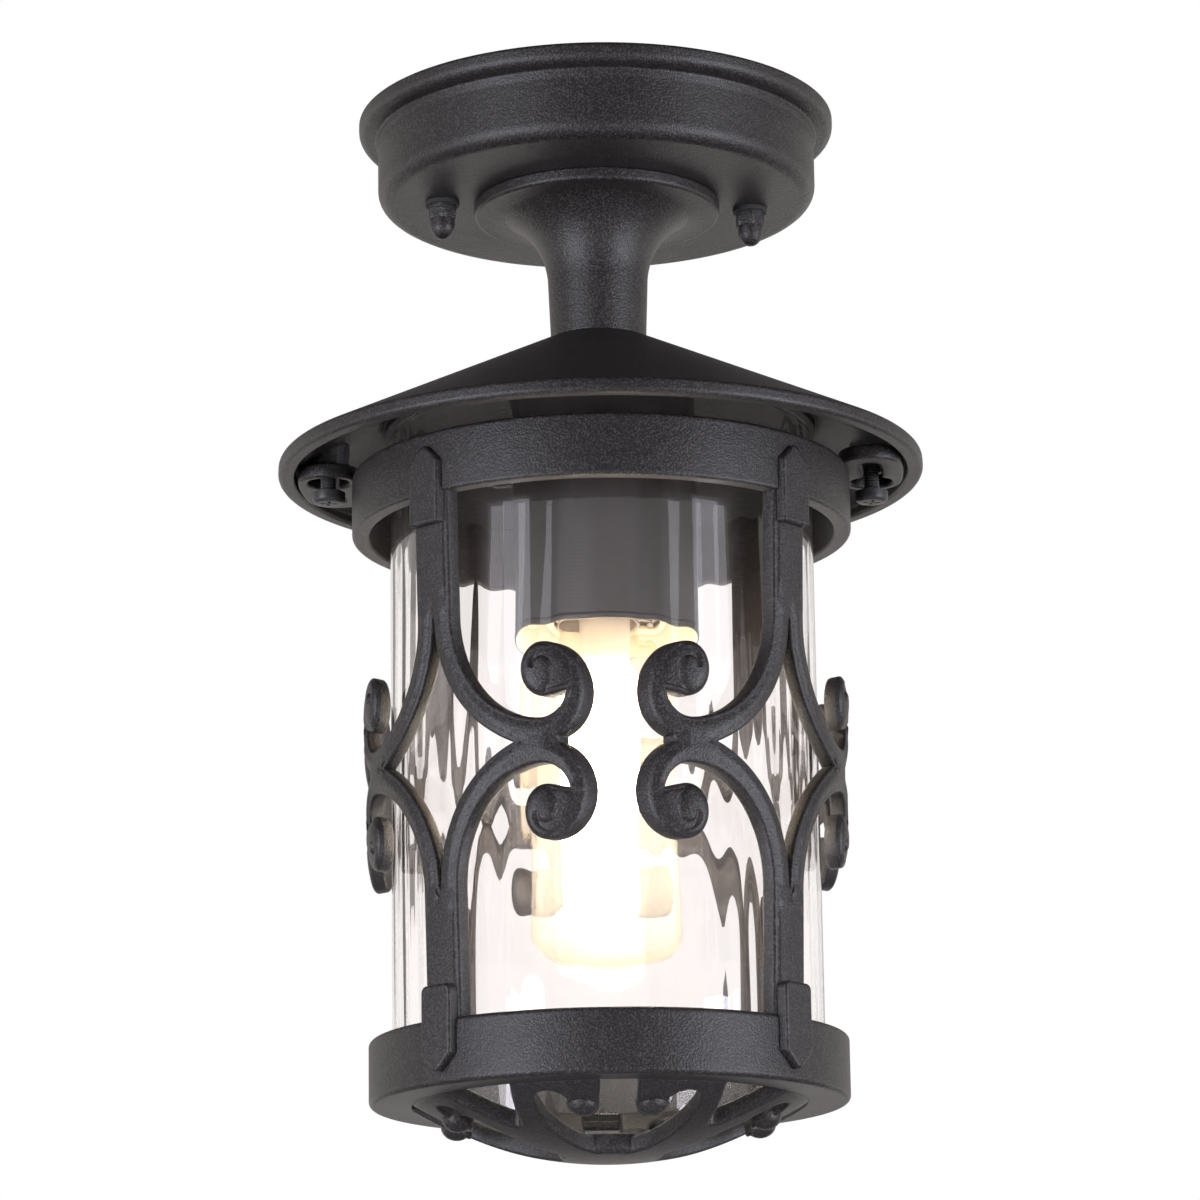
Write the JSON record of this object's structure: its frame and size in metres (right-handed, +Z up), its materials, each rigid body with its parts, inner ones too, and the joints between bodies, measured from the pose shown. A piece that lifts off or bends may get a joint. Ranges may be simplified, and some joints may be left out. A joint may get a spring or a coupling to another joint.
{
  "type": "porch ceiling lantern",
  "caption": "Ceiling lantern with round canopy, flared stem, conical roof and a drop-down scrollwork cage round a clear glass tube with a screw-in lamp.",
  "frame": {"origin": "centre of the two ceiling slots, in the ceiling plane", "axes": "+Z up into the ceiling, X along the bracket and through the two retaining screws, -Y towards the front bay of the cage"},
  "size_m": [0.195, 0.195, 0.3198],
  "materials": {
    "powder_coat": "fine-textured charcoal powder coat over cast aluminium",
    "cup_paint": "satin charcoal paint outside, cream inside",
    "dark_fasteners": "blackened steel",
    "zinc_steel": "bright zinc plate",
    "rubber_black": "matt black rubber",
    "holder_cream": "cream heat-resistant plastic",
    "ceramic_white": "unglazed white ceramic",
    "brass": "plain brass",
    "nickel": "nickel-plated sheet",
    "block_ivory": "ivory plastic",
    "wire_brown": "brown insulation",
    "wire_blue": "blue insulation",
    "wire_green_yellow": "green and yellow insulation",
    "clear_glass": "clear glass, fluted inside",
    "bulb_glass": "thin clear glass",
    "lamp_white": "white ceramic",
    "lamp_glow": "frosted, lit from within",
    "brown_screw": "brown oxide"
  },
  "bodies": {
    "fixture": {"ceiling_gasket": "rubber_black", "mounting_bracket": "zinc_steel", "bracket_studs": "zinc_steel", "canopy": "powder_coat", "seal_washers": "rubber_black", "dome_nuts": "dark_fasteners", "terminal_block": "block_ivory", "terminal_screws": "brass", "earth_terminal": "brass", "stem_gasket": "rubber_black", "stem": "powder_coat", "roof_gasket": "rubber_black", "threaded_tube": "zinc_steel", "tube_washers": "zinc_steel", "tube_nuts": "zinc_steel", "roof": "powder_coat", "roof_bosses": "powder_coat", "glass_top_gasket": "rubber_black", "holder_cup": "cup_paint", "holder_cap": "holder_cream", "holder_insert": "ceramic_white", "holder_skirt": "holder_cream", "holder_shell": "nickel", "holder_contact": "brass", "holder_terminals": "brass", "live_wire": "wire_brown", "neutral_wire": "wire_blue", "earth_wire": "wire_green_yellow"},
    "glass": {"glass_tube": "clear_glass", "glass_base_gasket": "rubber_black"},
    "cage": {"cage_top_ring": "powder_coat", "cage_bottom_ring": "powder_coat", "scroll_bar_front_right": "powder_coat", "scroll_bar_back_right": "powder_coat", "scroll_bar_back_left": "powder_coat", "scroll_bar_front_left": "powder_coat", "bottom_grille": "powder_coat", "boss_screw": "brown_screw"},
    "lamp_contact": {"lamp_contact": "nickel"},
    "lamp": {"lamp_cap": "nickel", "lamp_stem": "lamp_white", "lamp_tube": "lamp_glow", "lamp_envelope": "bulb_glass"},
    "washer_right": {"keeper_washer_right": "dark_fasteners"},
    "screw_right": {"keeper_screw_right": "dark_fasteners"},
    "washer_left": {"keeper_washer_left": "dark_fasteners"},
    "screw_left": {"keeper_screw_left": "dark_fasteners"}
  },
  "joints": [
    {"name": "cage_drop", "type": "slide", "parent": "fixture", "child": "glass", "axis": [0, 0, -1], "range_m": [0, 0.166]},
    {"name": "cage_twist", "type": "hinge", "parent": "glass", "child": "cage", "pos_m": [0, 0, -0.3], "axis": [0, 0, 1], "range_deg": [0, 14]},
    {"name": "lamp_drop", "type": "slide", "parent": "fixture", "child": "lamp_contact", "axis": [0, 0, -1], "range_m": [0, 0.0218]},
    {"name": "lamp_turn", "type": "hinge", "parent": "lamp_contact", "child": "lamp", "pos_m": [0, 0, -0.2], "axis": [0, 0, -1], "range_deg": [0, 2160]},
    {"name": "screw_right_travel", "type": "slide", "parent": "fixture", "child": "washer_right", "axis": [0, 0, 1], "range_m": [-0.0008, 0.0028]},
    {"name": "screw_right_turn", "type": "hinge", "parent": "washer_right", "child": "screw_right", "pos_m": [0.0822, 0, -0.119], "axis": [0, 0, 1], "range_deg": [-360, 1260]},
    {"name": "screw_left_travel", "type": "slide", "parent": "fixture", "child": "washer_left", "axis": [0, 0, 1], "range_m": [-0.0008, 0.0028]},
    {"name": "screw_left_turn", "type": "hinge", "parent": "washer_left", "child": "screw_left", "pos_m": [-0.0822, 0, -0.119], "axis": [0, 0, 1], "range_deg": [-360, 1260]}
  ],
  "couplings": [
    {"joint": "lamp_drop", "follows": "lamp_turn", "m_per_rad": 0.00057757},
    {"joint": "screw_right_turn", "follows": "screw_right_travel", "rad_per_m": 7854},
    {"joint": "screw_left_turn", "follows": "screw_left_travel", "rad_per_m": 7854}
  ]
}
